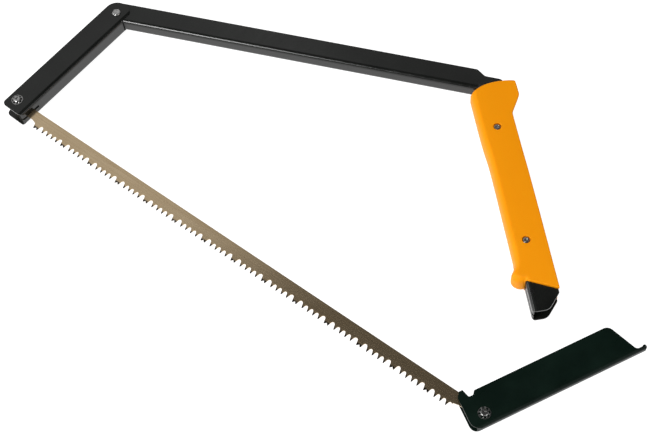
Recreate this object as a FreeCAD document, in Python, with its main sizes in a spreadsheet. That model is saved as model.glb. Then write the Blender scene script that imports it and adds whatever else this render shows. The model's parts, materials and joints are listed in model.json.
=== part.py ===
import FreeCAD, Part
import math
import os
import Sketcher
from FreeCAD import Placement, Rotation, Vector

# Folding bow saw, lying on its side. Millimetres. Z is normal to the plane of the saw.
# The top bar runs along +X from the front pivot to the handle pivot, +Y is its open outer side.
# Every channel is bent from sheet: two side walls joined by a web on one long edge.

doc = FreeCAD.newDocument("BowSaw")

DIMENSIONS = {
    # sheet metal
    "sheet": 1.5,
    "bendout": 4.4,
    "bendin": 1.3,
    # where the front pivot lies in the row frame, and the height of the plane of the blade
    "originx": -276.49,
    "originy": 182.76,
    "midz": 13.2,
    # top bar, seen from its front pivot
    "barlength": 429,
    "barwidth": 17,
    "barweb": 8.7,
    "barrim": 15.5,
    "barfront": 9.5,
    "barend": 12,
    "barstep": 8.6,
    "barstepat": 19.5,
    "barstepend": 9.5,
    "barwebfront": 9.5,
    "barwebend": 14,
    # front arm, seen from its own front pivot
    "armangle": -113.9,
    "armlength": 151.95,
    "armskew": -4.2,
    "armwidth": 20.8,
    "armweb": 13,
    "armrim": 15,
    "armtop": 14,
    "armend": 13,
    "armwebtop": 5,
    "armslot": 3.2,
    "armslotat": 12.5,
    "armround": 12.5,
    # handle channel, seen from the handle pivot
    "handleangle": -66.4,
    "handlewidth": 20.8,
    "handleweb": 17.4,
    "handlerim": 12,
    "handletop": 6.5,
    "handlewebtop": 12,
    "handlerear": 254.5,
    "handlefront": 270.5,
    "handlecorner": -1.5,
    "slotlength": 63.5,
    "slotwidth": 13.2,
    # grip
    "gripwidth": 26.4,
    "gripfront": 22.9,
    "griprear": 13.2,
    "griptop": 5,
    "gripend": 251,
    "gripfrontend": 236,
    "gripbeak": 31.8,
    "gripmouth": 6,
    "gripround": 2.4,
    "levermouth": 16,
    "gripscrewline": -7,
    "gripscrewtop": 56.5,
    "gripscrewend": 193,
    # tension lever, seen from the rear blade screw
    "leverangle": 40.8,
    "leverwidth": 12,
    "leverweb": 11,
    "leverrim": 24.3,
    "leverback": 16.3,
    "leverlength": 148,
    "levertongue": 170,
    "tonguedeep": 2.8,
    "tongueknob": 4.8,
    "hornheight": 29.4,
    "notchdeep": 20.6,
    "notchat": -2.8,
    "notchwide": 5.2,
    # blade
    "bladeangle": -22.1,
    "bladelength": 607,
    "bladethick": 0.8,
    "bladeback": 5.2,
    "bladetips": 12.8,
    "bladeneck": 5.6,
    "bladeend": 9,
    "teethstart": 30.5,
    "teethend": 574,
    "grouppitch": 39.5,
    "groupcount": 14,
    "groupstart": 35.2,
    "toothpitch": 6.6,
    "toothdeep": 5.3,
    "rakerdeep": 6.3,
    # screws, rivets and pins
    "bladescrewdia": 6,
    "bladehole": 6.2,
    "screwheaddia": 7.4,
    "screwhead": 1.5,
    "keysize": 3,
    "washerdia": 12.7,
    "washerthick": 1.0,
    "nutwidth": 11,
    "spacerdia": 12,
    "rivetdia": 5,
    "rivethole": 5.2,
    "rivetheaddia": 9.4,
    "rivethead": 1.5,
    "rivetinner": 0.7,
    "rivetdome": 1.1,
    "hiddenheaddia": 7.4,
    "hiddenhead": 0.8,
    "hiddendome": 0.5,
    "fulcrumdia": 4,
    "fulcrumat": 248.93,
    "fulcrumline": -13.9,
    "fulcruminner": 6.3,
    "fulcrumproud": 0.6,
    "gripscrewdia": 4,
    "gripscrewhole": 4.2,
    "gripheaddia": 8,
    "griphead": 2.2,
    "gap": 0.05,
}

sheet = doc.addObject("Spreadsheet::Sheet", "Sizes")
for row, (alias, number) in enumerate(DIMENSIONS.items(), start=1):
    sheet.set("A%d" % row, alias)
    sheet.set("B%d" % row, str(number))
    sheet.setAlias("B%d" % row, alias)
doc.recompute()


def value(expression):
    """The number that an expression on the sheet stands for."""
    answer = sheet.evalExpression(expression)
    return float(getattr(answer, "Value", answer))


def sized(text):
    """Names on the sheet written as $name become full references."""
    return text.replace("$", "Sizes.")


def origin_plane(body, role):
    for item in body.Origin.OriginFeatures:
        if item.Role == role:
            return item
    raise ValueError(role)


def new_body(name, place_x="0", place_y="0", angle="0"):
    """A body whose origin sits at place_x, place_y from the front pivot, turned by angle."""
    body = doc.addObject("PartDesign::Body", name)
    body.Label = name
    body.setExpression("Placement.Base.x", sized("$originx + " + place_x))
    body.setExpression("Placement.Base.y", sized("$originy + " + place_y))
    body.setExpression("Placement.Base.z", sized("$midz"))
    body.setExpression("Placement.Rotation.Angle", sized(angle))
    return body


def new_sketch(body, name, height=None, role="XY_Plane"):
    sketch = body.newObject("Sketcher::SketchObject", name)
    sketch.AttachmentSupport = [(origin_plane(body, role), "")]
    sketch.MapMode = "FlatFace"
    if height is not None:
        sketch.setExpression("AttachmentOffset.Base.z", sized(height))
    return sketch


def bind(sketch, kind, first, first_point, second, second_point, expression):
    index = sketch.addConstraint(
        Sketcher.Constraint(kind, first, first_point, second, second_point, value(sized(expression))))
    sketch.setExpression("Constraints[%d]" % index, sized(expression))


def draw_polygon(sketch, corners):
    """A closed outline of (across, up) or (across, up, radius) expressions, one per corner."""
    spots = [Vector(value(sized(item[0])), value(sized(item[1])), 0) for item in corners]
    radii = [value(sized(item[2])) if len(item) > 2 else 0 for item in corners]
    count = len(spots)
    starts = []
    stops = []
    for index in range(count):
        before = (spots[index - 1] - spots[index]).normalize()
        after = (spots[(index + 1) % count] - spots[index]).normalize()
        reach = radii[index] / math.tan(before.getAngle(after) / 2) if radii[index] else 0
        stops.append(spots[index] + before * reach)
        starts.append(spots[index] + after * reach)
    first = sketch.GeometryCount
    for index in range(count):
        sketch.addGeometry(Part.LineSegment(starts[index], stops[(index + 1) % count]), False)
    for index, item in enumerate(corners):
        arriving = first + (index - 1) % count
        leaving = first + index
        if not radii[index]:
            sketch.addConstraint(Sketcher.Constraint("Coincident", arriving, 2, leaving, 1))
            bind(sketch, "DistanceX", -1, 1, leaving, 1, item[0])
            bind(sketch, "DistanceY", -1, 1, leaving, 1, item[1])
            continue
        before = (spots[index - 1] - spots[index]).normalize()
        after = (spots[(index + 1) % count] - spots[index]).normalize()
        half = before.getAngle(after) / 2
        centre = spots[index] + (before + after).normalize() * (radii[index] / math.sin(half))
        middle = centre + (spots[index] - centre).normalize() * radii[index]
        bend = sketch.addGeometry(Part.Arc(stops[index], middle, starts[index]), False)
        corner = sketch.addGeometry(Part.Point(spots[index]), True)
        bind(sketch, "DistanceX", -1, 1, corner, 1, item[0])
        bind(sketch, "DistanceY", -1, 1, corner, 1, item[1])
        sketch.addConstraint(Sketcher.Constraint("PointOnObject", corner, 1, arriving))
        sketch.addConstraint(Sketcher.Constraint("PointOnObject", corner, 1, leaving))
        near = (sketch.getPoint(bend, 1) - stops[index]).Length < 1e-6
        sketch.addConstraint(Sketcher.Constraint("Tangent", arriving, 2, bend, 1 if near else 2))
        sketch.addConstraint(Sketcher.Constraint("Tangent", leaving, 1, bend, 2 if near else 1))
        size = sketch.addConstraint(Sketcher.Constraint("Radius", bend, radii[index]))
        sketch.setExpression("Constraints[%d]" % size, sized(item[2]))


def draw_circle(sketch, across, up, diameter):
    centre = Vector(value(sized(across)), value(sized(up)), 0)
    ring = sketch.addGeometry(
        Part.Circle(centre, Vector(0, 0, 1), value(sized(diameter)) / 2), False)
    bind(sketch, "DistanceX", -1, 1, ring, 3, across)
    bind(sketch, "DistanceY", -1, 1, ring, 3, up)
    index = sketch.addConstraint(Sketcher.Constraint("Diameter", ring, value(sized(diameter))))
    sketch.setExpression("Constraints[%d]" % index, sized(diameter))


def pad(body, sketch, length, midplane=True):
    feature = body.newObject("PartDesign::Pad", sketch.Name + "Pad")
    feature.Profile = sketch
    feature.setExpression("Length", sized(length))
    feature.Midplane = midplane
    doc.recompute()
    return feature


def cut_through(body, sketch, length):
    """Take away a slice of the given thickness, centred on the sketch."""
    feature = body.newObject("PartDesign::Pocket", sketch.Name + "Pocket")
    feature.Profile = sketch
    feature.setExpression("Length", sized(length))
    feature.Midplane = True
    doc.recompute()
    return feature


def upright_edges(shape, spots):
    """Names of the edges along Z that stand at any of the given places."""
    names = []
    for index, edge in enumerate(shape.Edges, start=1):
        box = edge.BoundBox
        if box.ZLength < 0.3 or box.XLength > 0.01 or box.YLength > 0.01:
            continue
        for across, up in spots:
            if abs(box.XMin - across) < 0.02 and abs(box.YMin - up) < 0.02:
                names.append("Edge%d" % index)
                break
    return names


def level_edges(shape, up, heights, shortest=8):
    """Names of the straight edges along X at the given Y and at any of the given heights."""
    names = []
    for index, edge in enumerate(shape.Edges, start=1):
        box = edge.BoundBox
        if box.XLength < shortest or box.YLength > 0.01 or box.ZLength > 0.01:
            continue
        if abs(box.YMin - up) < 0.02 and any(abs(box.ZMin - height) < 0.02 for height in heights):
            names.append("Edge%d" % index)
    return names


def rim_edges(shape, height):
    """Names of all the edges that lie in the planes at plus and minus the given height."""
    names = []
    for index, edge in enumerate(shape.Edges, start=1):
        box = edge.BoundBox
        if box.ZLength < 0.01 and abs(abs(box.ZMin) - height) < 0.02:
            names.append("Edge%d" % index)
    return names


def fillet(body, names, radius, label):
    if not names:
        raise ValueError("no edges for " + label)
    base = body.Tip
    feature = body.newObject("PartDesign::Fillet", label)
    feature.Base = (base, names)
    feature.setExpression("Radius", sized(radius))
    body.Tip = feature
    doc.recompute()
    if feature.State and "Invalid" in feature.State:
        raise ValueError("fillet failed: " + label)
    return feature


def round_corners(body, corners, radius, label):
    spots = [(value(sized(across)), value(sized(up))) for across, up in corners]
    return fillet(body, upright_edges(body.Tip.Shape, spots), radius, label)


def rectangle(left, low, right, high):
    return [(left, low), (right, low), (right, high), (left, high)]


def channel(body, width, web_up, rim_up, blank_ends, web_ends, outline):
    """A bent channel: blank with rounded bends, hollowed, then trimmed to its outline.

    The web lies at web_up and runs between web_ends. The walls reach to rim_up.
    """
    name = body.Name
    half = value(sized(width)) / 2
    thick = value("Sizes.sheet")
    outer = value(sized(web_up))
    inward = 1 if value(sized(rim_up)) > outer else -1
    beyond = "%d * 40" % inward
    blank = new_sketch(body, name + "Blank")
    draw_polygon(blank, rectangle(blank_ends[0], web_up, blank_ends[1], rim_up))
    pad(body, blank, width)
    fillet(body, level_edges(body.Tip.Shape, outer, [half, -half]), "$bendout", name + "BendOut")
    hollow = new_sketch(body, name + "Hollow")
    floor = "%s + %d * $sheet" % (web_up, inward)
    outside = "%s - %s" % (web_up, beyond)
    top = "%s + %s" % (rim_up, beyond)
    draw_polygon(hollow, [
        (blank_ends[0] + " - 10", outside),
        (web_ends[0], outside),
        (web_ends[0], floor),
        (web_ends[1], floor),
        (web_ends[1], outside),
        (blank_ends[1] + " + 10", outside),
        (blank_ends[1] + " + 10", top),
        (blank_ends[0] + " - 10", top),
    ])
    cut_through(body, hollow, width + " - 2 * $sheet")
    fillet(body, level_edges(body.Tip.Shape, outer + inward * thick, [half - thick, thick - half]),
           "$bendin", name + "BendIn")
    trim = new_sketch(body, name + "Trim")
    draw_polygon(trim, rectangle(blank_ends[0] + " - 10", outside, blank_ends[1] + " + 10", top))
    draw_polygon(trim, outline)
    doc.recompute()
    cut_through(body, trim, width + " + 4")


def wall_holes(body, name, width, holes):
    """Round holes straight through both walls."""
    sketch = new_sketch(body, name)
    for across, up, diameter in holes:
        draw_circle(sketch, across, up, diameter)
    doc.recompute()
    return cut_through(body, sketch, width + " + 4")


# ---- where the pivots are, as expressions from the front pivot ------------------------------
# The blade screw on the arm stands a little nearer the arm's rim than the front pivot does.
ARM_COS = "cos($armangle * 1deg)"
ARM_SIN = "sin($armangle * 1deg)"
FRONT_SCREW_X = "($armlength * %s - $armskew * %s)" % (ARM_COS, ARM_SIN)
FRONT_SCREW_Y = "($armlength * %s + $armskew * %s)" % (ARM_SIN, ARM_COS)
REAR_SCREW_X = "(%s + $bladelength * cos($bladeangle * 1deg))" % FRONT_SCREW_X
REAR_SCREW_Y = "(%s + $bladelength * sin($bladeangle * 1deg))" % FRONT_SCREW_Y


def at_arm(name):
    return new_body(name, "0", "0", "$armangle")


def at_handle(name):
    return new_body(name, "$barlength", "0", "$handleangle")


def at_front_screw(name):
    return new_body(name, FRONT_SCREW_X, FRONT_SCREW_Y, "$bladeangle")


def at_rear_screw(name, angle="$bladeangle"):
    return new_body(name, REAR_SCREW_X, REAR_SCREW_Y, angle)


# ---- top bar: web below, rim above, rim lowered over the handle pivot ------------------------
top_bar = new_body("top_bar")
BAR_STEP = "$barlength - $barstepat"
channel(
    top_bar, "$barwidth", "-$barweb", "$barrim",
    ("-$barfront", "$barlength + $barend"),
    ("$barwebfront", "$barlength - $barwebend"),
    [
        ("-$barfront", "-$barweb", "7"),
        ("$barlength + $barend", "-$barweb", "8"),
        ("$barlength + $barend", "$barstep", "7"),
        (BAR_STEP + " + $barstepend", "$barstep", "5"),
        (BAR_STEP, "$barrim", "5"),
        ("-$barfront", "$barrim", "11"),
    ])
wall_holes(top_bar, "BarHoles", "$barwidth", [
    ("0", "0", "$rivethole"),
    ("$barlength", "0", "$rivethole"),
])

# ---- front arm: web towards the throat, cut away under the bar and slotted for the blade -----
front_arm = at_arm("front_arm")
channel(
    front_arm, "$armwidth", "$armweb", "-$armrim",
    ("-$armtop", "$armlength + $armend"),
    ("$armwebtop", "$armlength + $armend"),
    [
        ("-$armtop", "-$armrim", "$armround + 1.5"),
        ("$armlength + $armend", "-$armrim", "5"),
        ("$armlength + $armend", "$armweb", "5"),
        ("-$armtop", "$armweb", "$armround - 1"),
    ])
wall_holes(front_arm, "ArmHoles", "$armwidth", [
    ("0", "0", "$rivethole"),
    ("$armlength", "$armskew", "$bladehole"),
])

arm_slot = new_sketch(front_arm, "ArmSlot")
draw_polygon(arm_slot, rectangle("$armlength - $armslotat", "$armweb - $sheet - 2",
                                 "$armlength + $armend + 5", "$armweb + 5"))
cut_through(front_arm, arm_slot, "$armslot")

# ---- handle channel: web to the front, wide slot at its lower end for the lever --------------
handle_channel = at_handle("handle_channel")
channel(
    handle_channel, "$handlewidth", "-$handleweb", "$handlerim",
    ("-$handletop", "$handlefront"),
    ("$handlewebtop", "$handlefront"),
    [
        ("-$handletop", "-$handleweb", "14"),
        ("$handlefront", "-$handleweb", "4"),
        ("$handlefront", "$handlecorner", "10"),
        ("$handlerear", "$handlerim", "3"),
        ("-$handletop", "$handlerim", "12"),
    ])
handle_slot = new_sketch(handle_channel, "HandleSlot")
draw_polygon(handle_slot, rectangle("$handlefront - $slotlength", "-$handleweb - 5",
                                    "$handlefront + 5", "-$handleweb + $sheet + 1.5"))
cut_through(handle_channel, handle_slot, "$slotwidth")
wall_holes(handle_channel, "HandleHoles", "$handlewidth", [
    ("0", "0", "$rivethole"),
    ("$gripscrewtop", "$gripscrewline", "$gripscrewhole"),
    ("$gripscrewend", "$gripscrewline", "$gripscrewhole"),
    ("$fulcrumat", "$fulcrumline", "$fulcrumdia + 0.1"),
])

# ---- tension lever: web to the rear, horned notches that reach over the fulcrum studs ---------
tension_lever = at_rear_screw("tension_lever", "$leverangle")
HORN_END = "$notchat - $notchwide * 0.85"
channel(
    tension_lever, "$leverwidth", "-$leverweb", "$hornheight",
    ("-$leverback - 0.8", "$levertongue"),
    ("-$leverback - 0.8", "$levertongue"),
    [
        ("-$leverback - 0.8", "-$leverweb", "9"),
        ("$levertongue", "-$leverweb", "1.2"),
        ("$levertongue - 1", "-$leverweb + $tongueknob", "2"),
        ("$levertongue - 4.5", "-$leverweb + $tonguedeep"),
        ("$leverlength + 11.5", "-$leverweb + $tonguedeep", "4"),
        ("$leverlength", "$leverrim", "7.5"),
        ("$notchat + $notchwide", "$leverrim", "1"),
        ("$notchat + $notchwide * 0.45", "$notchdeep", "1.8"),
        ("$notchat - $notchwide * 0.45", "$notchdeep", "1.8"),
        (HORN_END, "$hornheight", "1"),
        (HORN_END + " - 4", "$hornheight", "1.4"),
        ("-$leverback + 1.4", "$leverrim", "2"),
    ])
wall_holes(tension_lever, "LeverHoles", "$leverwidth", [("0", "0", "$bladehole")])

# ---- blade: four cutting teeth and a forked raker, repeated -----------------------------------
saw_blade = at_front_screw("saw_blade")
blade_outline = new_sketch(saw_blade, "BladeOutline")
draw_polygon(blade_outline, [
    ("-$bladeend", "-$bladeneck"),
    ("$teethstart - 6", "-$bladeneck"),
    ("$teethstart", "-$bladeneck - 2"),
    ("$teethstart + 2", "-$bladetips"),
    ("$teethend", "-$bladetips"),
    ("$teethend + 3", "-$bladeneck - 1.4"),
    ("$teethend + 8", "-$bladeneck"),
    ("$bladelength + $bladeend", "-$bladeneck"),
    ("$bladelength + $bladeend", "$bladeback"),
    ("-$bladeend", "$bladeback"),
])
pad(saw_blade, blade_outline, "$bladethick")
round_corners(saw_blade, [
    ("-$bladeend", "-$bladeneck"),
    ("-$bladeend", "$bladeback"),
    ("$bladelength + $bladeend", "-$bladeneck"),
    ("$bladelength + $bladeend", "$bladeback"),
], "4.5", "BladeEndRound")
wall_holes(saw_blade, "BladeHoles", "$bladethick", [
    ("0", "0", "$bladehole"),
    ("$bladelength", "0", "$bladehole"),
])


def gullet(centre, half_top_left, half_top_right, depth):
    """A rounded valley between two points: its outline from the tip line up and back."""
    floor = "-$bladetips + " + depth
    return [
        ("%s - %s" % (centre, half_top_left), "-$bladetips - 3"),
        ("%s - %s" % (centre, half_top_left), "-$bladetips"),
        ("%s - %s * 0.62" % (centre, half_top_left), floor + " - 1.1"),
        ("%s - %s * 0.3" % (centre, half_top_left), floor),
        ("%s + %s * 0.15" % (centre, half_top_right), floor),
        ("%s + %s * 0.5" % (centre, half_top_right), floor + " - 1.2"),
        ("%s + %s" % (centre, half_top_right), "-$bladetips"),
        ("%s + %s" % (centre, half_top_right), "-$bladetips - 3"),
    ]


teeth_group = new_sketch(saw_blade, "TeethGroup")
FIRST_TOOTH = "$groupstart + $toothpitch * 1.49"
draw_polygon(teeth_group, gullet("$groupstart + 5.6", "3.2", "3.9", "$rakerdeep"))
for step in range(3):
    draw_polygon(teeth_group, gullet(FIRST_TOOTH + " + $toothpitch * %s" % (step + 0.5),
                                     "3.0", "3.0", "$toothdeep"))
draw_polygon(teeth_group, gullet("$groupstart + $grouppitch - 5.6", "3.9", "3.2", "$rakerdeep"))
draw_polygon(teeth_group, [
    ("$groupstart - 1.9", "-$bladetips - 3"),
    ("$groupstart - 1.9", "-$bladetips"),
    ("$groupstart", "-$bladetips + 2.2"),
    ("$groupstart + 1.9", "-$bladetips"),
    ("$groupstart + 1.9", "-$bladetips - 3"),
])
doc.recompute()
teeth_cut = cut_through(saw_blade, teeth_group, "$bladethick + 2")
teeth_row = saw_blade.newObject("PartDesign::LinearPattern", "TeethRow")
teeth_row.Originals = [teeth_cut]
for axis in saw_blade.Origin.OriginFeatures:
    if axis.Role == "X_Axis":
        teeth_row.Direction = (axis, [""])
teeth_row.setExpression("Length", sized("$grouppitch * ($groupcount - 1)"))
teeth_row.setExpression("Occurrences", sized("$groupcount"))
saw_blade.Tip = teeth_row
doc.recompute()

# ---- grip: one moulding over the front and both sides of the handle channel -------------------
grip = at_handle("grip")
grip_outline = new_sketch(grip, "GripOutline")
draw_polygon(grip_outline, [
    ("$griptop - 0.5", "-$gripfront - 2.5", "5"),
    ("$griptop + 55", "-$gripfront - 2", "60"),
    ("$griptop + 95", "-$gripfront", "60"),
    ("$gripfrontend - 29", "-$gripfront", "12"),
    ("$gripfrontend - 17", "-$gripfront - 2.2", "12"),
    ("$gripfrontend - 7.5", "-$gripbeak", "4"),
    ("$gripfrontend + 0.5", "-$gripbeak + 0.4", "4"),
    ("$gripfrontend + 5.5", "-$gripfront + 0.4", "3"),
    ("$gripfrontend + 0.4", "-$handleweb + 1"),
    ("$gripend", "$griprear"),
    ("$griptop + 118", "$griprear", "90"),
    ("$griptop + 51", "$griprear - 1.8", "30"),
    ("$griptop + 34", "$griprear - 1.8", "14"),
    ("$griptop + 17", "$griprear + 8", "10"),
    ("$griptop + 12", "$griprear + 9.8", "3"),
    ("$griptop - 4", "$griprear + 9.4", "3"),
    ("$griptop - 6.4", "$griprear - 3", "20"),
    ("$griptop - 6.2", "$griprear - 11", "20"),
    ("$griptop - 3.4", "$griprear - 19", "20"),
    ("$griptop - 0.5", "$griprear - 27", "10"),
])
pad(grip, grip_outline, "$gripwidth")
fillet(grip, rim_edges(grip.Tip.Shape, value("Sizes.gripwidth") / 2), "$gripround", "GripRound")
grip_inside = new_sketch(grip, "GripInside")
draw_polygon(grip_inside, rectangle("-$handletop - 12", "-$handleweb",
                                    "$gripend + 20", "$griprear + 30"))
cut_through(grip, grip_inside, "$handlewidth")
# The bar passes through the front at the top, the end of the folded lever a little lower,
# and the blade and the lever pass through the lower end.
FRONT_CUTS = [
    ("GripMouth", "-$handletop - 12", "$gripmouth", "$handlewidth"),
    ("LeverMouth", "-$handletop - 12", "$levermouth", "$slotwidth"),
    ("LeverSlot", "$handlefront - $slotlength", "$gripend + 20", "$slotwidth"),
]
for cut_name, cut_from, cut_to, cut_width in FRONT_CUTS:
    front_cut = new_sketch(grip, cut_name)
    draw_polygon(front_cut, rectangle(cut_from, "-$gripbeak - 5", cut_to, "-$handleweb + 1"))
    cut_through(grip, front_cut, cut_width)
wall_holes(grip, "GripHoles", "$gripwidth", [
    ("$gripscrewtop", "$gripscrewline", "$gripscrewhole"),
    ("$gripscrewend", "$gripscrewline", "$gripscrewhole"),
])
HEAD_SEAT = "$gripwidth / 2 - $griphead"
for side, word in ((1, "Near"), (-1, "Far")):
    seat = new_sketch(grip, "ScrewSeat" + word, "%d * ($gripwidth / 2)" % side)
    draw_circle(seat, "$gripscrewtop", "$gripscrewline", "$gripheaddia + 0.6")
    draw_circle(seat, "$gripscrewend", "$gripscrewline", "$gripheaddia + 0.6")
    doc.recompute()
    cut_through(grip, seat, "2 * $griphead")
    recess = new_sketch(grip, "RivetRecess" + word, "%d * ($handlewidth / 2)" % side)
    draw_circle(recess, "0", "0", "$hiddenheaddia + 1.2")
    doc.recompute()
    cut_through(grip, recess, "2 * ($rivethead + 0.3)")


# ---- fasteners: turned pieces, each a profile revolved about the pivot axis --------------------
def turned(body, name, profile):
    """Revolve a profile of (radius, height) pairs about the body's Z axis."""
    sketch = new_sketch(body, name, role="XZ_Plane")
    draw_polygon(sketch, profile)
    doc.recompute()
    feature = body.newObject("PartDesign::Revolution", name + "Turned")
    feature.Profile = sketch
    for axis in body.Origin.OriginFeatures:
        if axis.Role == "Z_Axis":
            feature.ReferenceAxis = (axis, [""])
    feature.Angle = 360
    doc.recompute()
    return feature


def hexagon(sketch, across_flats):
    """A regular hexagon about the origin."""
    corners = []
    for step in range(6):
        turn = "cos(%d deg)" % (60 * step)
        lift = "sin(%d deg)" % (60 * step)
        reach = "(%s) / sqrt(3)" % across_flats
        corners.append((reach + " * " + turn, reach + " * " + lift))
    draw_polygon(sketch, corners)


def screw(body, name, stack, tip):
    """Low-headed screw with a hexagon socket; stack is the height its head sits on."""
    turned(body, name, [
        ("0", tip),
        ("$bladescrewdia / 2 - 0.4", tip),
        ("$bladescrewdia / 2", tip + " + 0.4"),
        ("$bladescrewdia / 2", stack),
        ("$screwheaddia / 2", stack),
        ("$screwheaddia / 2", stack + " + $screwhead - 0.5"),
        ("$screwheaddia / 2 - 0.5", stack + " + $screwhead"),
        ("0", stack + " + $screwhead"),
    ])
    key = new_sketch(body, name + "Key", stack + " + $screwhead")
    hexagon(key, "$keysize")
    doc.recompute()
    return cut_through(body, key, "2 * ($screwhead - 0.3)")


def nut(body, name, top, thick):
    """Thin hexagon nut whose upper face is at top."""
    sketch = new_sketch(body, name, top + " - (%s) / 2" % thick)
    hexagon(sketch, "$nutwidth")
    draw_circle(sketch, "0", "0", "$bladescrewdia + 2 * $gap")
    doc.recompute()
    return pad(body, sketch, thick)


PLACES = {
    "bar_front": ("0", "0", "0"),
    "bar_rear": ("$barlength", "0", "0"),
    "front_screw": (FRONT_SCREW_X, FRONT_SCREW_Y, "$bladeangle"),
    "rear_screw": (REAR_SCREW_X, REAR_SCREW_Y, "$bladeangle"),
    "handle": ("$barlength", "0", "$handleangle"),
}


def place_node(node, place):
    across, up, angle = PLACES[place]
    node.setExpression("Placement.Base.x", sized("$originx + " + across))
    node.setExpression("Placement.Base.y", sized("$originy + " + up))
    node.setExpression("Placement.Base.z", sized("$midz"))
    node.setExpression("Placement.Rotation.Angle", sized(angle))


def cylinder(name, diameter, bottom, height, across="0", up="0"):
    piece = doc.addObject("Part::Cylinder", name)
    piece.setExpression("Radius", sized("(%s) / 2" % diameter))
    piece.setExpression("Height", sized(height))
    piece.setExpression("Placement.Base.x", sized(across))
    piece.setExpression("Placement.Base.y", sized(up))
    piece.setExpression("Placement.Base.z", sized(bottom))
    return piece


counter = {"made": 0}


def part_name(stem):
    counter["made"] += 1
    return "%s%d" % (stem, counter["made"])


def ring_shape(outer, inner, inner_height, thick, side):
    bottom = inner_height if side > 0 else "-(%s) - (%s)" % (inner_height, thick)
    disc = cylinder(part_name("Disc"), outer, bottom, thick)
    bore = cylinder(part_name("Bore"), inner, bottom + " - 1", thick + " + 2")
    ring = doc.addObject("Part::Cut", part_name("Ring"))
    ring.Base = disc
    ring.Tool = bore
    return ring


def fused(pieces):
    joined = doc.addObject("Part::MultiFuse", part_name("Fused"))
    joined.Shapes = pieces
    return joined


def both_sides(name, place, make_side):
    """One node of two solids, built by make_side for the near side and for the far side."""
    node = doc.addObject("Part::Compound", name)
    node.Label = name
    node.Links = [piece for side in (1, -1) for piece in make_side(side)]
    place_node(node, place)
    return node


def span(side, low, high):
    """Bottom and height of a stretch from low to high above the middle, on either side."""
    bottom = low if side > 0 else "-(%s)" % high
    return bottom, "(%s) - (%s)" % (high, low)


def short_rivet(outer_width, head_diameter, head_height, dome):
    """A rivet through one wall of the bar and the wall outside it, with a domed outer head."""
    def make(side):
        shank = cylinder(part_name("Shank"), "$rivetdia", *span(side, "$barwidth / 2 - $sheet - $rivetinner",
                                                               outer_width + " / 2 + $gap"))
        inner = cylinder(part_name("Inner"), "$hiddenheaddia",
                         *span(side, "$barwidth / 2 - $sheet - $rivetinner", "$barwidth / 2 - $sheet - 0.02"))
        head = cylinder(part_name("Head"), head_diameter,
                        *span(side, outer_width + " / 2 + 0.02", outer_width + " / 2 + " + head_height))
        rivet = fused([shank, inner, head])
        edges = doc.addObject("Part::Fillet", part_name("Domed"))
        edges.Base = rivet
        doc.recompute()
        top = side * value(sized(outer_width + " / 2 + " + head_height))
        radius = value(sized(dome))
        chosen = [(index, radius, radius) for index, edge in enumerate(rivet.Shape.Edges, start=1)
                  if abs(edge.BoundBox.ZMin - top) < 0.01 and abs(edge.BoundBox.ZMax - top) < 0.01]
        edges.Edges = chosen
        return [edges]
    return make


both_sides("front_pivot_rivets", "bar_front",
           short_rivet("$armwidth", "$rivetheaddia", "$rivethead", "$rivetdome"))
both_sides("handle_pivot_rivets", "bar_rear",
           short_rivet("$handlewidth", "$hiddenheaddia", "$hiddenhead", "$hiddendome"))

# ---- thin slip washers in the gaps between the bar's walls and the outer channels --------------
SLIP_LOW = "$barwidth / 2 + 0.05"
SLIP_THICK = "($armwidth - 2 * $sheet - $barwidth) / 2 - 0.1"


def slip_washer(side):
    return [ring_shape("$spacerdia", "$rivethole", SLIP_LOW, SLIP_THICK, side)]


both_sides("front_slip_washers", "bar_front", slip_washer)
both_sides("handle_slip_washers", "bar_rear", slip_washer)

# ---- blade front screw: head, washers, spacers that centre the blade, thin nut ----------------
ARM_FACE = "$armwidth / 2 + $washerthick + 0.04"
NUT_FRONT = "($midz - $armwidth / 2 - $washerthick - 0.06)"
blade_front_screw = at_front_screw("blade_front_screw")
screw(blade_front_screw, "FrontScrew", ARM_FACE, "-$midz + 0.2")
blade_front_nut = at_front_screw("blade_front_nut")
nut(blade_front_nut, "FrontNut", "-(%s) - 0.02" % ARM_FACE, NUT_FRONT)


def arm_washer(side):
    return [ring_shape("$washerdia", "$bladehole", "$armwidth / 2 + 0.02", "$washerthick", side)]


def arm_spacer(side):
    return [ring_shape("$spacerdia", "$bladehole", "$bladethick / 2 + 0.05",
                       "$armwidth / 2 - $sheet - $bladethick / 2 - 0.1", side)]


both_sides("blade_front_washers", "front_screw", arm_washer)
both_sides("blade_front_spacers", "front_screw", arm_spacer)

# ---- blade rear screw: the same stack through the lever, low enough to enter the handle --------
LEVER_FACE = "$leverwidth / 2 + $washerthick + 0.04"
blade_rear_screw = at_rear_screw("blade_rear_screw")
screw(blade_rear_screw, "RearScrew", LEVER_FACE, "-(%s) - 1.4" % LEVER_FACE)
blade_rear_nut = at_rear_screw("blade_rear_nut")
nut(blade_rear_nut, "RearNut", "-(%s) - 0.02" % LEVER_FACE, "1.5")


def lever_washer(side):
    return [ring_shape("$washerdia", "$bladehole", "$leverwidth / 2 + 0.02", "$washerthick", side)]


def lever_spacer(side):
    return [ring_shape("$spacerdia - 2", "$bladehole", "$bladethick / 2 + 0.05",
                       "$leverwidth / 2 - $sheet - $bladethick / 2 - 0.1", side)]


both_sides("blade_rear_washers", "rear_screw", lever_washer)
both_sides("blade_rear_spacers", "rear_screw", lever_spacer)

# ---- fulcrum studs: one in each wall of the handle channel, clear of the lever's walls ----------
def fulcrum_stud(side):
    return [cylinder(part_name("Stud"), "$fulcrumdia",
                     *span(side, "$fulcruminner", "$handlewidth / 2 + $fulcrumproud"),
                     across="$fulcrumat", up="$fulcrumline")]


both_sides("fulcrum_studs", "handle", fulcrum_stud)


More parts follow.
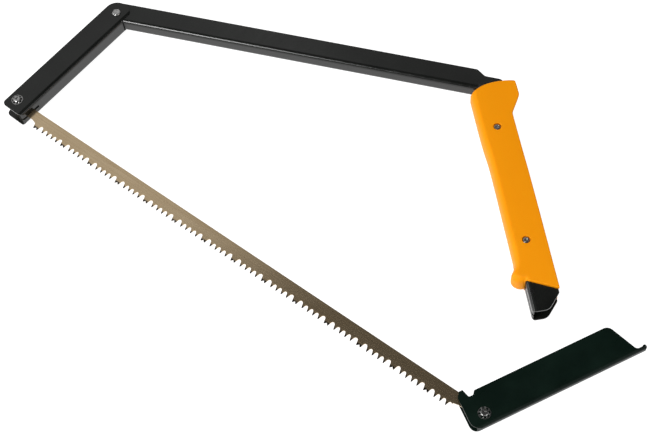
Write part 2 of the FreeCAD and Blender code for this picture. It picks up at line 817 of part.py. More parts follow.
# ---- grip screws: short, one pair into each wall of the handle channel --------------------------
def grip_screw_pair(side):
    pieces = []
    for across in ("$gripscrewtop", "$gripscrewend"):
        shank = cylinder(part_name("Shank"), "$gripscrewdia",
                         *span(side, "$handlewidth / 2 - $sheet + 0.1", "$gripwidth / 2 - $griphead + 0.5"),
                         across=across, up="$gripscrewline")
        head = cylinder(part_name("Head"), "$gripheaddia",
                        *span(side, "$gripwidth / 2 - $griphead + 0.02", "$gripwidth / 2 - 0.2"),
                        across=across, up="$gripscrewline")
        key = doc.addObject("Part::Prism", part_name("Key"))
        key.Polygon = 6
        key.setExpression("Circumradius", sized("$keysize / sqrt(3)"))
        key.setExpression("Height", sized("1.4"))
        key.setExpression("Placement.Base.x", sized(across))
        key.setExpression("Placement.Base.y", sized("$gripscrewline"))
        bottom = span(side, "$gripwidth / 2 - 1.5", "$gripwidth / 2 - 0.1")[0]
        key.setExpression("Placement.Base.z", sized(bottom))
        cut = doc.addObject("Part::Cut", part_name("GripScrew"))
        cut.Base = fused([shank, head])
        cut.Tool = key
        pieces.append(cut)
    return pieces


both_sides("grip_screws", "handle", grip_screw_pair)

doc.recompute()

NODES = [
    "top_bar", "front_arm", "handle_channel", "tension_lever", "saw_blade", "grip",
    "front_pivot_rivets", "front_slip_washers", "handle_pivot_rivets", "handle_slip_washers",
    "blade_front_screw", "blade_front_nut", "blade_front_washers", "blade_front_spacers",
    "blade_rear_screw", "blade_rear_nut", "blade_rear_washers", "blade_rear_spacers",
    "fulcrum_studs", "grip_screws",
]

for item in doc.Objects:
    if "Invalid" in item.State or "Error" in item.State:
        raise RuntimeError("%s is %s" % (item.Name, item.State))

os.makedirs("parts", exist_ok=True)
whole = FreeCAD.BoundBox()
for name in NODES:
    shape = doc.getObject(name).Shape
    if shape.isNull() or not shape.isValid():
        raise RuntimeError(name + " has no valid shape")
    shape.exportStep("parts/%s.step" % name)
    whole.add(shape.BoundBox)
    print(name, len(shape.Solids), round(shape.Volume, 1))
print("whole", whole)
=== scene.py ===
import bmesh
import bpy
import json
import math
from mathutils import Matrix, Vector
from mathutils.geometry import delaunay_2d_cdt
import numpy as np


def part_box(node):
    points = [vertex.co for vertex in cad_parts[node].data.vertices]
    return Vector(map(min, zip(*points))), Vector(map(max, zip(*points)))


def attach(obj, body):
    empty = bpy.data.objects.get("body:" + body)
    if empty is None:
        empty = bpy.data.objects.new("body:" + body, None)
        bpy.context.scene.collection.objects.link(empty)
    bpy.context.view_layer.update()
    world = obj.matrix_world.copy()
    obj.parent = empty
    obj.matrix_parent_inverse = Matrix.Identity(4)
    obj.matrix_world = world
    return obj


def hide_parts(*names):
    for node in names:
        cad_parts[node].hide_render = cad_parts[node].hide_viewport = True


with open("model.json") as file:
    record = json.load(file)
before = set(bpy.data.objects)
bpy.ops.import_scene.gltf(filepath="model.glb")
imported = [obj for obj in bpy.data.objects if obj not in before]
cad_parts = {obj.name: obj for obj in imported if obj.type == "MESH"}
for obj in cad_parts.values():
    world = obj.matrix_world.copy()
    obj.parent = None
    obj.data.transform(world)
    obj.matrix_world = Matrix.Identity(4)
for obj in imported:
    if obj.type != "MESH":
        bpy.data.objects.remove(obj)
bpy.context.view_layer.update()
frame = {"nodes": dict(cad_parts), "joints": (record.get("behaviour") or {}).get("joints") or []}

# A folding bow saw lying on a pale floor, in metres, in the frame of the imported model.
MM = 0.001
scene = bpy.context.scene
nodes = frame["nodes"]

# ---- places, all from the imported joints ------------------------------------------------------
pivots = {joint["name"]: Vector(joint["pos_m"]) for joint in frame["joints"]}
FRONT_PIVOT = pivots["arm_fold"]
HANDLE_PIVOT = pivots["handle_fold"]
FRONT_SCREW = pivots["blade_swing"]
REAR_SCREW = pivots["lever_swing"]
MIDDLE = FRONT_PIVOT.z
HANDLE_ANGLE = math.radians(-66.4)


def heading(start, end):
    """Angle in the plane of the saw from one place to another."""
    return math.atan2(end.y - start.y, end.x - start.x)


def local_frame(origin, angle):
    """Matrix from millimetres along and across a piece to the row frame in metres."""
    return Matrix.Translation(origin) @ Matrix.Rotation(angle, 4, "Z") @ Matrix.Scale(MM, 4)


BLADE_ANGLE = heading(FRONT_SCREW, REAR_SCREW)
ARM_ANGLE = heading(FRONT_PIVOT, FRONT_SCREW)
HANDLE = local_frame(HANDLE_PIVOT, HANDLE_ANGLE)


# ---- materials: small helpers around the shader graph ----------------------------------------
class Graph:
    """A node material with short calls for the few nodes used here."""

    def __init__(self, name):
        self.material = bpy.data.materials.new(name)
        self.material.use_nodes = True
        self.tree = self.material.node_tree
        self.shader = self.tree.nodes["Principled BSDF"]
        self.coordinates = self.node("TexCoord").outputs["Object"]

    def node(self, kind, inputs=None, **settings):
        made = self.tree.nodes.new("ShaderNode" + kind)
        for key, setting in settings.items():
            setattr(made, key, setting)
        for key, source in (inputs or {}).items():
            self.feed(made.inputs[key], source)
        return made

    def feed(self, socket, source):
        if isinstance(source, bpy.types.NodeSocket):
            self.tree.links.new(source, socket)
        else:
            socket.default_value = source

    def math(self, operation, first, second=0.0):
        return self.node("Math", {0: first, 1: second}, operation=operation).outputs[0]

    def along(self, origin, angle, stretch=(1, 1, 1)):
        """Coordinates measured from origin, turned by angle about Z and stretched."""
        shifted = self.node("VectorMath", {0: self.coordinates, 1: tuple(origin)}, operation="SUBTRACT")
        turned = self.node("VectorRotate", {"Vector": shifted.outputs[0], "Angle": -angle},
                           rotation_type="Z_AXIS")
        return self.node("VectorMath", {0: turned.outputs[0], 1: stretch}, operation="MULTIPLY").outputs[0]

    def noise(self, scale, detail=3.0, vector=None, roughness=0.5):
        made = self.node("TexNoise", {"Scale": scale, "Detail": detail, "Roughness": roughness})
        self.feed(made.inputs["Vector"], vector or self.coordinates)
        return made.outputs["Fac"]

    def rescale(self, source, low, high, new_low, new_high):
        made = self.node("MapRange", {"Value": source, "From Min": low, "From Max": high,
                                      "To Min": new_low, "To Max": new_high})
        return made.outputs["Result"]

    def mix(self, factor, first, second, blend="MIX"):
        made = self.node("Mix", data_type="RGBA", blend_type=blend)
        self.feed(made.inputs[0], factor)
        self.feed(made.inputs[6], first)
        self.feed(made.inputs[7], second)
        return made.outputs[2]

    def bump(self, height, strength, distance, below=None):
        made = self.node("Bump", {"Height": height, "Strength": strength, "Distance": distance})
        if below is not None:
            self.feed(made.inputs["Normal"], below)
        return made.outputs["Normal"]

    def worn_edges(self, radius, sharpness):
        """About one on edges sharper than a few degrees and zero on flat faces."""
        bevel = self.node("Bevel", {"Radius": radius}, samples=6)
        plain = self.node("NewGeometry").outputs["Normal"]
        facing = self.node("VectorMath", {0: bevel.outputs[0], 1: plain}, operation="DOT_PRODUCT")
        return self.rescale(facing.outputs["Value"], 1.0, 1.0 - sharpness, 0.0, 1.0)

    def finish(self, **values):
        for key, source in values.items():
            self.feed(self.shader.inputs[key.replace("_", " ")], source)
        return self.material


BARE_STEEL = (0.16, 0.16, 0.155, 1)


def paint(name, colour, sheen_low, sheen_high, index, grain, grain_depth):
    """Baked satin paint: fine grain, faint mottling, and a little wear on sheet edges."""
    graph = Graph(name)
    mottle = graph.noise(38, 4)
    fine = graph.noise(grain, 2)
    scuffs = graph.noise(160, 3, graph.along(FRONT_PIVOT, ARM_ANGLE, (0.12, 1, 1)))
    lighter = tuple(min(1, part * 1.45) for part in colour[:3]) + (1,)
    tone = graph.mix(graph.rescale(mottle, 0.35, 0.7, 0, 1), colour, lighter)
    wear = graph.math("MULTIPLY", graph.worn_edges(0.0005, 0.14),
                      graph.rescale(graph.noise(240, 4), 0.5, 0.72, 0, 0.55))
    tone = graph.mix(wear, tone, BARE_STEEL)
    rough = graph.rescale(graph.math("ADD", mottle, scuffs), 0.7, 1.3, sheen_low, sheen_high)
    normal = graph.bump(fine, 0.35, grain_depth)
    normal = graph.bump(scuffs, 0.05, 0.0003, normal)
    return graph.finish(Base_Color=tone, Roughness=rough, Normal=normal, IOR=index)


LACQUER_DEEP = (0.74, 0.56, 0.34, 1)
LACQUER_PALE = (0.86, 0.67, 0.43, 1)
LACQUER_BLOTCH = (0.54, 0.38, 0.21, 1)
HARDENED_TIP = (0.045, 0.042, 0.04, 1)
RUBBED_EDGE = (0.32, 0.27, 0.21, 1)
TIP_LINE = -0.0094      # where the dark tips begin, across the blade
TIP_FADE = -0.0108


def lacquered_blade(name):
    """Bronze lacquer over steel ground lengthwise, with dark hardened tooth tips."""
    graph = Graph(name)
    lengthwise = graph.along(FRONT_SCREW, BLADE_ANGLE, (0.02, 1, 1))
    place = graph.along(FRONT_SCREW, BLADE_ANGLE)
    grinding = graph.noise(2600, 4, lengthwise, 0.6)
    streaks = graph.noise(520, 3, lengthwise)
    blotches = graph.noise(22, 3)
    tone = graph.mix(graph.rescale(streaks, 0.3, 0.7, 0, 1), LACQUER_DEEP, LACQUER_PALE)
    tone = graph.mix(graph.rescale(blotches, 0.35, 0.75, 0, 0.35), tone, LACQUER_BLOTCH)
    across = graph.node("SeparateXYZ", {0: place}).outputs["Y"]
    ragged = graph.math("ADD", across, graph.rescale(graph.noise(300, 2), 0.3, 0.7, -0.0004, 0.0004))
    hardened = graph.rescale(ragged, TIP_LINE, TIP_FADE, 0, 1)
    tone = graph.mix(hardened, tone, HARDENED_TIP)
    edge = graph.worn_edges(0.0003, 0.2)
    tone = graph.mix(graph.math("MULTIPLY", edge, 0.5), tone, RUBBED_EDGE)
    rough = graph.rescale(grinding, 0.25, 0.75, 0.17, 0.27)
    normal = graph.bump(grinding, 0.12, 0.00012)
    return graph.finish(Base_Color=tone, Roughness=rough, Metallic=0.95, Normal=normal)


PLASTIC_DEEP = (0.78, 0.262, 0.0018, 1)
PLASTIC_PALE = (0.83, 0.285, 0.0026, 1)
PLASTIC_RUBBED = (0.80, 0.33, 0.02, 1)


def moulded_plastic(name):
    """Yellow-orange moulding with a very fine spark-eroded grain and faint flow marks."""
    graph = Graph(name)
    flow = graph.noise(14, 3, graph.along(HANDLE_PIVOT, HANDLE_ANGLE, (0.25, 1, 1)))
    grain = graph.noise(2200, 2)
    pores = graph.noise(700, 2)
    tone = graph.mix(graph.rescale(flow, 0.3, 0.7, 0, 1), PLASTIC_DEEP, PLASTIC_PALE)
    rubbed = graph.math("MULTIPLY", graph.worn_edges(0.0012, 0.1), graph.rescale(pores, 0.4, 0.7, 0, 0.5))
    tone = graph.mix(rubbed, tone, PLASTIC_RUBBED)
    rough = graph.rescale(graph.math("ADD", pores, flow), 0.7, 1.3, 0.40, 0.50)
    normal = graph.bump(grain, 0.12, 0.0001)
    normal = graph.bump(pores, 0.06, 0.0002, normal)
    return graph.finish(Base_Color=tone, Roughness=rough, Normal=normal, IOR=1.48,
                        Specular_IOR_Level=0.08,
                        Subsurface_Weight=0.08, Subsurface_Radius=(0.004, 0.0015, 0.0004),
                        Subsurface_Scale=1.0)


def turned_steel(name, centre, colour, rough_low, rough_high, tarnish):
    """Steel turned on a lathe about the given centre: rings of fine tool marks."""
    graph = Graph(name)
    place = graph.node("VectorMath", {0: graph.coordinates, 1: tuple(centre)}, operation="SUBTRACT")
    flat = graph.node("VectorMath", {0: place.outputs[0], 1: (1, 1, 0)}, operation="MULTIPLY")
    radius = graph.node("VectorMath", {0: flat.outputs[0]}, operation="LENGTH").outputs["Value"]
    marks = graph.noise(5200, 2, graph.node("CombineXYZ", {0: radius}).outputs[0])
    blotches = graph.noise(420, 4)
    darker = tuple(part * tarnish for part in colour[:3]) + (1,)
    tone = graph.mix(graph.rescale(blotches, 0.42, 0.68, 0, 1), colour, darker)
    rough = graph.rescale(graph.math("ADD", marks, blotches), 0.7, 1.3, rough_low, rough_high)
    normal = graph.bump(marks, 0.25, 0.00008)
    return graph.finish(Base_Color=tone, Roughness=rough, Metallic=1.0, Normal=normal)


def nylon(name):
    """Natural nylon with faint clouding."""
    graph = Graph(name)
    cloud = graph.noise(300, 3)
    tone = graph.mix(cloud, (0.62, 0.61, 0.57, 1), (0.78, 0.77, 0.73, 1))
    return graph.finish(Base_Color=tone, Roughness=graph.rescale(cloud, 0.3, 0.7, 0.4, 0.55),
                        Normal=graph.bump(cloud, 0.1, 0.0001))


SATIN_BLACK = (0.0050, 0.0055, 0.0049, 1)
GREEN_BLACK = (0.0024, 0.0066, 0.0046, 1)
CHANNEL_PAINT = paint("channel_paint", SATIN_BLACK, 0.17, 0.25, 1.5, 1500, 0.00008)
LEVER_PAINT = paint("lever_paint", GREEN_BLACK, 0.26, 0.38, 1.2, 1000, 0.00014)
BLADE_LACQUER = lacquered_blade("blade_lacquer")
GRIP_PLASTIC = moulded_plastic("grip_plastic")
NYLON = nylon("nylon")


RIM_WIDTH = 0.3 * MM


def dress(node, material):
    """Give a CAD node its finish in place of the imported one."""
    nodes[node].data.materials.clear()
    nodes[node].data.materials.append(material)


def soften(node):
    """Round the sharp rims of a CAD node so that they catch the light."""
    rims = nodes[node].modifiers.new("rims", "BEVEL")
    rims.width = RIM_WIDTH
    rims.segments = 2
    rims.limit_method = "ANGLE"
    rims.angle_limit = math.radians(40)
    rims.use_clamp_overlap = True
    rims.harden_normals = False


for node in ("top_bar", "front_arm", "handle_channel"):
    dress(node, CHANNEL_PAINT)
    soften(node)
dress("tension_lever", LEVER_PAINT)
soften("tension_lever")
dress("saw_blade", BLADE_LACQUER)

BRIGHT = (0.62, 0.62, 0.61, 1)
DARK = (0.10, 0.10, 0.10, 1)
FASTENERS = {}
for place, centre in (("front", FRONT_SCREW), ("rear", REAR_SCREW)):
    bright = turned_steel("bright_steel_" + place, centre, BRIGHT, 0.22, 0.38, 0.6)
    FASTENERS[place] = bright
    dress("blade_%s_screw" % place, bright)
    dress("blade_%s_nut" % place, bright)
    dress("blade_%s_spacers" % place, NYLON)
dress("front_pivot_rivets", turned_steel("rivet_steel", FRONT_PIVOT, BRIGHT, 0.20, 0.34, 0.65))
dress("handle_pivot_rivets", CHANNEL_PAINT)
dress("front_slip_washers", NYLON)
dress("handle_slip_washers", NYLON)
dress("fulcrum_studs", turned_steel("stud_steel", HANDLE_PIVOT, DARK, 0.3, 0.45, 0.7))

# ---- pieces built here, in millimetres along, behind and above the plane of the saw -------------
def add_piece(name, frame_matrix, surface, material, body, rounded=True):
    """A mesh piece riding on the given body; surface is (places, faces)."""
    places, faces = surface
    mesh = bpy.data.meshes.new(name)
    work = bmesh.new()
    corners = [work.verts.new(frame_matrix @ Vector(place)) for place in places]
    for face in faces:
        work.faces.new([corners[index] for index in face])
    bmesh.ops.remove_doubles(work, verts=work.verts, dist=1e-6)
    bmesh.ops.recalc_face_normals(work, faces=work.faces)
    for face in work.faces:
        face.smooth = rounded
    work.to_mesh(mesh)
    work.free()
    if rounded:
        mesh.set_sharp_from_angle(angle=math.radians(35))
    mesh.materials.append(material)
    piece = bpy.data.objects.new(name, mesh)
    scene.collection.objects.link(piece)
    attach(piece, body)
    return piece


def flipped(surface):
    """The mirror image of a surface across the plane of the saw."""
    places, faces = surface
    other = [(along, across, -up) for along, across, up in places]
    return other, [tuple(reversed(face)) for face in faces]


def strip(first, second):
    """Quads between two closed rows of the same number of corner indices."""
    afters = zip(first[1:] + first[:1], second[1:] + second[:1])
    return [(one, one_after, two_after, two)
            for one, two, (one_after, two_after) in zip(first, second, afters)]


def add_row(places, row):
    """Adds a row to the places of a surface; returns the row's corner indices."""
    places.extend(row)
    return list(range(len(places) - len(row), len(places)))


def lofted(sections):
    """A surface through sections of equal length, shut at its first and last one."""
    places = []
    rows = [add_row(places, section) for section in sections]
    faces = [tuple(reversed(rows[0])), tuple(rows[-1])]
    for lower, upper in zip(rows, rows[1:]):
        faces.extend(strip(lower, upper))
    return places, faces


def joined(first, second):
    """Two surfaces as one."""
    places, faces = first
    count = len(places)
    return places + second[0], faces + [tuple(count + index for index in face) for face in second[1]]


def smooth_outline(corners, rounds):
    """Corner cutting: a smooth closed curve that follows the given corners."""
    for _ in range(rounds):
        cut = []
        for index, here in enumerate(corners):
            after = corners[(index + 1) % len(corners)]
            cut.append(tuple(0.75 * a + 0.25 * b for a, b in zip(here, after)))
            cut.append(tuple(0.25 * a + 0.75 * b for a, b in zip(here, after)))
        corners = cut
    return corners


# ---- grip: a shell over the front and both sides of the handle channel -------------------------
# Its section is a U with a half-elliptical front, cut off by the top, rear and lower outline.
GRIP_HALF = 13.2        # cheek above the plane of the saw
CHANNEL_HALF = 10.4     # outside of the channel that the grip wraps
WEB_FACE = -17.4        # front of the channel, behind the front of the grip
RIM_ROUND = 0.9
FRONT_REACH = 5.4       # how far the rounding of the front reaches into the cheek
FRONT_DROP = 9.0        # how far it falls at the front
SEAT_PLACES = ((56.5, -7), (193, -7))
SEAT_RADIUS = 4.2
SEAT_DEPTH = 2.2
SEAT_CHAMFER = 0.3
SEAT_RINGS = (0.45, 0.9, 2.0)   # extra rings of corners round a seat, so that the cheek stays flat
CIRCLE_STEPS = 36
GRIP_FRONT = (
    (236.5, -17.6), (236.9, -19.6), (235.8, -23.8), (233, -27.4), (229.2, -29.5), (225.8, -29),
    (222.2, -26.3), (218, -23.9), (211, -22.9), (195, -22.9), (110, -22.9), (90, -23.2),
    (72, -24.6), (48, -25.2), (20, -25.5), (9.6, -25.5),
)
GRIP_TOP = (
    (8.6, -25.5), (7.6, -22.6), (6.4, -19.4), (2.7, -12.8), (0.6, -4.7), (-0.2, 6.3), (0.6, 16.5),
    (1.8, 22.2), (2.6, 23.4),
)
GRIP_HUMP = ((4.2, 23.9), (19.4, 24.2), (21.6, 23.8), (37.5, 14.6), (41.5, 12.4), (45, 12.1))
FAR_HUMP = ((4.2, 18.6), (17.4, 18.8), (21.6, 17.6), (33.5, 13.6), (41.5, 12.4), (45, 12.1))
GRIP_REAR = ((88, 12.5), (123, 13.2), (246, 13.2), (250.2, 13.2), (250.6, 12.4))
GRIP_LOWER = ((249, 9), (238.9, -11.6), (236.7, -16.1))
SMOOTH_ROUNDS = 3
EDGE_INSETS = (0.08, 0.3, 0.6, 0.95, 1.5)
EDGE_CLEAR = 0.05       # inner corners nearer than this to the outline are left out
FRONT_GRID = 1.1
GRIP_END = 250
FRONT_BAND = (-30, -14)
BEYOND_TOP = -10        # the front's edge line is drawn on past the top of the grip
TOUCH = 1e-6


def grip_outline(hump):
    """Smooth outline, starting at the top, and where on it the front begins."""
    corners = GRIP_TOP + hump + GRIP_REAR + GRIP_LOWER + GRIP_FRONT
    first_front = (len(corners) - len(GRIP_FRONT)) * 2 ** SMOOTH_ROUNDS
    smooth = smooth_outline(corners, SMOOTH_ROUNDS)
    outline = []
    for index, here in enumerate(smooth):
        if index == first_front:
            front_start = len(outline)
        outline.append(here)
        after = smooth[(index + 1) % len(smooth)]
        if (here[1] - WEB_FACE) * (after[1] - WEB_FACE) < 0:
            part = (WEB_FACE - here[1]) / (after[1] - here[1])
            outline.append((here[0] + part * (after[0] - here[0]), WEB_FACE))
    return outline, front_start


def line_gaps(places, line):
    """Distance of each place from an open line."""
    points = np.array(places)[:, None, :]
    starts = np.array(line[:-1])[None]
    runs = np.array(line[1:])[None] - starts
    lengths = np.maximum((runs ** 2).sum(2), 1e-12)
    part = np.clip(((points - starts) * runs).sum(2) / lengths, 0, 1)
    return np.sqrt((((points - starts) - runs * part[..., None]) ** 2).sum(2)).min(1)


def fallen(gaps, reach):
    """How far an elliptical edge has fallen, from one at the edge to zero at its reach."""
    part = 1 - np.clip(gaps / reach, 0, 1)
    return 1 - np.sqrt(1 - part * part)


def circle(centre, radius):
    """Places round a centre, one full turn."""
    turns = [2 * math.pi * step / CIRCLE_STEPS for step in range(CIRCLE_STEPS)]
    return [(centre[0] + radius * math.cos(turn), centre[1] + radius * math.sin(turn)) for turn in turns]


def raised(row, up):
    """The same row at a height."""
    return [(along, behind, up) for along, behind in row]


def ring_of(start, count):
    """Edges that close a row of corners into a ring."""
    return [(start + index, start + (index + 1) % count) for index in range(count)]


def inner_corners(outline):
    """Corners inside an outline: rows along its edge, a grid under the front, rings at the seats."""
    inner = []
    for index, here in enumerate(outline):
        run = (Vector(outline[(index + 1) % len(outline)]) - Vector(outline[index - 1])).normalized()
        for inset in EDGE_INSETS:
            inner.append((here[0] + run.y * inset, here[1] - run.x * inset))
    inner += [(along, behind) for along in np.arange(0, GRIP_END, FRONT_GRID)
              for behind in np.arange(*FRONT_BAND, FRONT_GRID)]
    for centre in SEAT_PLACES:
        for spread in SEAT_RINGS:
            inner += circle(centre, SEAT_RADIUS + spread)
    from_edge = line_gaps(inner, outline + outline[:1])
    return [place for place, gap in zip(inner, from_edge) if gap > EDGE_CLEAR]


def cheek_surface(outline, front_start):
    """The cheek with its rounded front and rims, open at the seats.

    Also returns the corner indices along the outline and round each seat.
    """
    count = len(outline)
    seats = [place for centre in SEAT_PLACES for place in circle(centre, SEAT_RADIUS + SEAT_CHAMFER)]
    flat = outline + seats + inner_corners(outline)
    edges = ring_of(0, count)
    for seat in range(len(SEAT_PLACES)):
        edges += ring_of(count + CIRCLE_STEPS * seat, CIRCLE_STEPS)
    corners, _, triangles, sources, _, _ = delaunay_2d_cdt([Vector(place) for place in flat], edges, [],
                                                           1, 1e-5)
    origin = {source: index for index, group in enumerate(sources) for source in group}
    edge = [origin[index] for index in range(count)]
    seat_rows = [[origin[count + CIRCLE_STEPS * seat + step] for step in range(CIRCLE_STEPS)]
                 for seat in range(len(SEAT_PLACES))]
    faces = [tuple(face) for face in triangles if not any(set(face) <= set(row) for row in seat_rows)]
    flat = [(corner.x, corner.y) for corner in corners]
    front = outline[front_start:] + [(BEYOND_TOP, outline[-1][1])]
    rim = outline[:front_start + 1]
    heights = GRIP_HALF - FRONT_DROP * fallen(line_gaps(flat, front), FRONT_REACH)
    heights -= RIM_ROUND * fallen(line_gaps(flat, rim), RIM_ROUND)
    places = [(along, behind, float(up)) for (along, behind), up in zip(flat, heights)]
    return places, faces, edge, seat_rows


def add_seats(places, faces, seat_rows):
    """The two screw seats sunk into the cheek."""
    for rim_row, centre in zip(seat_rows, SEAT_PLACES):
        lip = add_row(places, raised(circle(centre, SEAT_RADIUS), GRIP_HALF - SEAT_CHAMFER))
        foot = add_row(places, raised(circle(centre, SEAT_RADIUS), GRIP_HALF - SEAT_DEPTH))
        faces.extend(strip(rim_row, lip))
        faces.extend(strip(lip, foot))
        faces.append(tuple(foot))


def add_walls(places, faces, outline, edge):
    """Below the outline: the front runs down to the plane of the saw, the rest to the channel."""
    count = len(outline)
    inside = add_row(places, [(along, behind, CHANNEL_HALF if behind >= WEB_FACE - TOUCH else 0)
                              for along, behind in outline])
    crossing = [index for index in range(count) if abs(outline[index][1] - WEB_FACE) < TOUCH]
    feet = add_row(places, [(outline[index][0], WEB_FACE, 0) for index in crossing])
    down = dict(zip(crossing, feet))
    for index in range(count):
        after = (index + 1) % count
        in_front = min(outline[index][1], outline[after][1]) < WEB_FACE - TOUCH
        first = down[index] if in_front and index in down else inside[index]
        second = down[after] if in_front and after in down else inside[after]
        faces.append((edge[index], edge[after], second, first))
    cheek = [index for index in range(count) if outline[index][1] >= WEB_FACE - TOUCH]
    while not (cheek[0] in down and cheek[-1] in down):
        cheek = cheek[1:] + cheek[:1]
    faces.append(tuple(inside[index] for index in cheek))
    top_end, bottom_end = cheek[0], cheek[-1]
    faces.append((inside[top_end], inside[bottom_end], down[bottom_end], down[top_end]))


def grip_half(hump):
    """The upper half of the grip: cheek, rounded front, rims, seats and the inside along the channel."""
    outline, front_start = grip_outline(hump)
    places, faces, edge, seat_rows = cheek_surface(outline, front_start)
    add_seats(places, faces, seat_rows)
    add_walls(places, faces, outline, edge)
    return places, faces


grip_surface = joined(grip_half(GRIP_HUMP), flipped(grip_half(FAR_HUMP)))
grip_shell = add_piece("grip_shell", HANDLE, grip_surface, GRIP_PLASTIC, "handle")
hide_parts("grip")

# ---- grip screws: domed heads with a round recess ----------------------------------------------
SCREW_PROFILE = (
    (3.8, 0), (3.8, 0.5), (3.55, 0.95), (3.0, 1.3), (2.2, 1.5), (1.8, 1.45), (1.5, 0.4), (0.05, 0.35),
)


def turned_head(centre, low):
    """A head turned about the centre and standing on the given height."""
    return lofted([raised(circle(centre, reach), low + up) for reach, up in SCREW_PROFILE])


SCREW_STEEL = (0.72, 0.71, 0.69, 1)
for number, centre in enumerate(SEAT_PLACES, start=1):
    head = turned_head(centre, GRIP_HALF - SEAT_DEPTH)
    steel = turned_steel("grip_screw_steel_%d" % number, HANDLE @ Vector((*centre, 0)),
                         SCREW_STEEL, 0.28, 0.45, 0.35)
    add_piece("grip_screw_heads_%d" % number, HANDLE, joined(head, flipped(head)),
                                 steel, "handle")
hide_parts("grip_screws")

# ---- lower end of the handle: the web closes round the blade and leaves a narrow slot ----------
SHEET = 1.5
BLADE_SLOT = 1.4        # half of the narrow slot
WIDE_SLOT = 6.6         # half of the slot in the CAD web
STRIP_LAP = 0.3         # how far a strip laps over the web
STRIP_LIFT = 0.02       # how far it stands in front of the web
BEND = 4.4
STRIP_START = 206
STRIP_END = 270.5
END_ROUND = 4.0
END_TURN = math.radians(50)
END_SET_BACK = 0.9
LEAST_SHEET = 0.6       # share of the sheet's thickness left where a strip meets the bend
LAP_STEPS = 3
BEND_STEPS = 6


def web_strip():
    """The sheet beside the blade slot: flat, then turning into the bend that the wall starts with."""
    bend_start = CHANNEL_HALF - BEND
    heights = [BLADE_SLOT]
    for step in range(LAP_STEPS + 1):
        heights.append(bend_start + (WIDE_SLOT + STRIP_LAP - bend_start) * step / LAP_STEPS)
    sections = []
    for up in heights:
        reach = max(0, up - bend_start)
        outer = WEB_FACE + BEND - math.sqrt(BEND * BEND - reach * reach) - STRIP_LIFT
        inner = max(WEB_FACE + SHEET, outer + SHEET * LEAST_SHEET)
        profile = [(STRIP_START, outer)]
        for step in range(BEND_STEPS + 1):
            turn = END_TURN * step / BEND_STEPS
            depth = END_ROUND * (1 - math.cos(turn))
            profile.append((STRIP_END - END_ROUND * (1 - math.sin(turn)), max(outer, WEB_FACE + depth)))
        profile.append((STRIP_END - END_SET_BACK, inner))
        profile.append((STRIP_START, inner))
        sections.append(raised(profile, up))
    return lofted(sections)


add_piece("handle_web_strips", HANDLE, joined(web_strip(), flipped(web_strip())), CHANNEL_PAINT,
          "handle")

# ---- toothed lock washers under the heads of the two blade screws ------------------------------
WASHER_RADIUS = 6.35
WASHER_RING = 5.7
WASHER_BORE = 3.3
WASHER_THICK = 0.55
WASHER_SPACE = 1.0      # how far a washer starts below the top of the CAD washers' box
WASHER_TEETH = 8
WASHER_TWIST = 0.35
WASHER_BEVEL = 0.12
WASHER_STATIONS = (-1.0, -0.5, -0.38, 0.38, 0.5, 1.0)   # gap, tooth, gap across one tooth's share
TOOTH_EDGE = 0.45


def lock_washer(low):
    """A ring with teeth that point inwards, each twisted a little out of its plane."""
    places = []
    faces = []
    for tooth in range(WASHER_TEETH):
        middle = 2 * math.pi * (tooth + 0.5) / WASHER_TEETH
        half = math.pi / WASHER_TEETH
        for lift, is_top in ((0, False), (WASHER_THICK, True)):
            for station in WASHER_STATIONS:
                angle = middle + half * station
                is_tooth = abs(station) < TOOTH_EDGE
                inner = WASHER_BORE if is_tooth else WASHER_RING
                twist = WASHER_TWIST if is_tooth and station > 0 else 0
                bevel = WASHER_BEVEL if is_top else 0
                outer = WASHER_RADIUS - bevel
                places.append((outer * math.cos(angle), outer * math.sin(angle), low + lift))
                places.append((inner * math.cos(angle), inner * math.sin(angle), low + lift + twist))
        base = tooth * len(WASHER_STATIONS) * 4
        level = len(WASHER_STATIONS) * 2
        for index in range(len(WASHER_STATIONS) - 1):
            here = base + 2 * index
            faces.append((here, here + 1, here + 3, here + 2))
            top = here + level
            faces.append((top, top + 2, top + 3, top + 1))
            faces.append((here, here + 2, top + 2, top))
            faces.append((here + 1, top + 1, top + 3, here + 3))
    return places, faces


for place, body, centre in (("front", "arm", FRONT_SCREW), ("rear", "lever", REAR_SCREW)):
    node = "blade_%s_washers" % place
    seat = (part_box(node)[1].z - MIDDLE) / MM - WASHER_SPACE
    ring = add_piece("lock_washers_" + place, local_frame(centre, BLADE_ANGLE),
                     joined(lock_washer(seat), flipped(lock_washer(seat))),
                     FASTENERS[place], body, rounded=False)
    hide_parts(node)

# ---- camera: looks down on the saw from the throat side --------------------------------------
cam_data = bpy.data.cameras.new("camera")
cam = bpy.data.objects.new("camera", cam_data)
scene.collection.objects.link(cam)
scene.camera = cam
cam.location = (0.25532843, -0.62969893, 1.16491279)
cam.rotation_euler = [math.radians(angle) for angle in (29.7029, 3.15591, 15.28732)]
cam_data.sensor_width = 36
cam_data.lens = 71.77914
cam_data.clip_end = 50

# ---- floor ------------------------------------------------------------------------------------
floor_graph = Graph("floor_paper")
paper = floor_graph.noise(60, 4)
PAPER_DARK = (0.29, 0.29, 0.29, 1)
PAPER_PALE = (0.31, 0.31, 0.31, 1)
floor_tone = floor_graph.mix(paper, PAPER_DARK, PAPER_PALE)
floor_graph.finish(Base_Color=floor_tone, Roughness=0.9, Normal=floor_graph.bump(paper, 0.03, 0.0002),
                   Emission_Color=(1, 1, 1, 1), Emission_Strength=0.95)
floor_mesh = bpy.data.meshes.new("floor")
FLOOR_HALF = 6
corners = [(x * FLOOR_HALF, y * FLOOR_HALF, 0) for x, y in ((-1, -1), (1, -1), (1, 1), (-1, 1))]
floor_mesh.from_pydata(corners, [], [(0, 1, 2, 3)])
floor_mesh.materials.append(floor_graph.material)
floor = bpy.data.objects.new("floor", floor_mesh)
scene.collection.objects.link(floor)

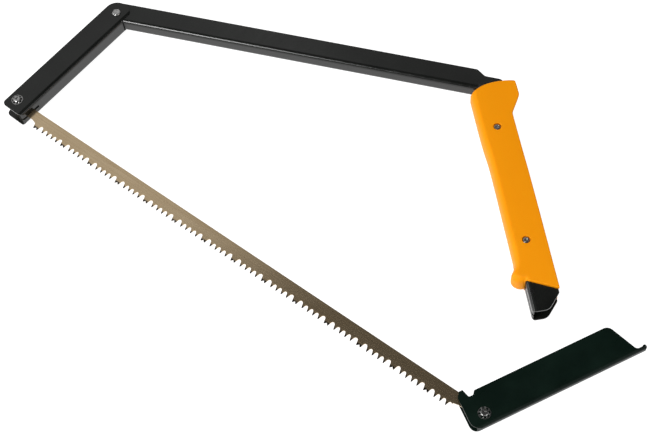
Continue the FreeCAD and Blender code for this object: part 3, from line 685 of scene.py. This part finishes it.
# ---- light: a dim sky, darkest overhead, with softboxes -----------------------------------------
world = bpy.data.worlds.new("studio")
world.use_nodes = True
scene.world = world
sky = world.node_tree
view = sky.nodes.new("ShaderNodeTexCoord")
split = sky.nodes.new("ShaderNodeSeparateXYZ")
sky.links.new(view.outputs["Generated"], split.inputs[0])
ramp = sky.nodes.new("ShaderNodeValToRGB")
sky.links.new(split.outputs["Z"], ramp.inputs[0])
# height over the horizon, from 0 to 1, and brightness there
SKY = ((0.0, 0.12), (0.30, 0.12), (0.50, 0.12), (0.70, 0.05), (1.0, 0.03))
while len(ramp.color_ramp.elements) < len(SKY):
    ramp.color_ramp.elements.new(0.5)
for element, (height, grey) in zip(ramp.color_ramp.elements, SKY):
    element.position = height
    element.color = (grey, grey, grey, 1)
background = sky.nodes["Background"]
sky.links.new(ramp.outputs[0], background.inputs["Color"])
background.inputs["Strength"].default_value = 0.8


def softbox(name, direction, distance, width, height, power):
    """An area light at a direction from the middle of the saw, facing it."""
    data = bpy.data.lights.new(name, "AREA")
    data.shape = "RECTANGLE"
    data.size = width
    data.size_y = height
    data.energy = power
    lamp = bpy.data.objects.new(name, data)
    scene.collection.objects.link(lamp)
    toward = Vector(direction).normalized()
    lamp.location = toward * distance
    lamp.visible_camera = False
    lamp.rotation_euler = (-toward).to_track_quat("-Z", "Y").to_euler()
    return lamp


# name, direction, distance, width, height, power
SOFTBOXES = (
    ("back_left_box", (-0.46, 0.52, 0.75), 2.4, 1.3, 1.3, 2.4),
    ("front_left_box", (-0.45, -0.66, 0.60), 2.6, 1.0, 1.0, 50),
    ("left_box", (-0.92, -0.05, 0.38), 2.6, 2.0, 1.0, 16),
    ("back_box", (-0.08, 0.66, 0.75), 2.4, 1.2, 0.7, 0.8),
    ("overhead_fill", (0.05, -0.1, 1.0), 2.6, 3.0, 3.0, 47),
    ("right_box", (0.90, -0.45, 0.40), 2.6, 2.0, 1.0, 9),
)
lamps = {settings[0]: softbox(*settings) for settings in SOFTBOXES}
lamps["overhead_fill"].visible_glossy = False
scene.view_settings.view_transform = "Standard"
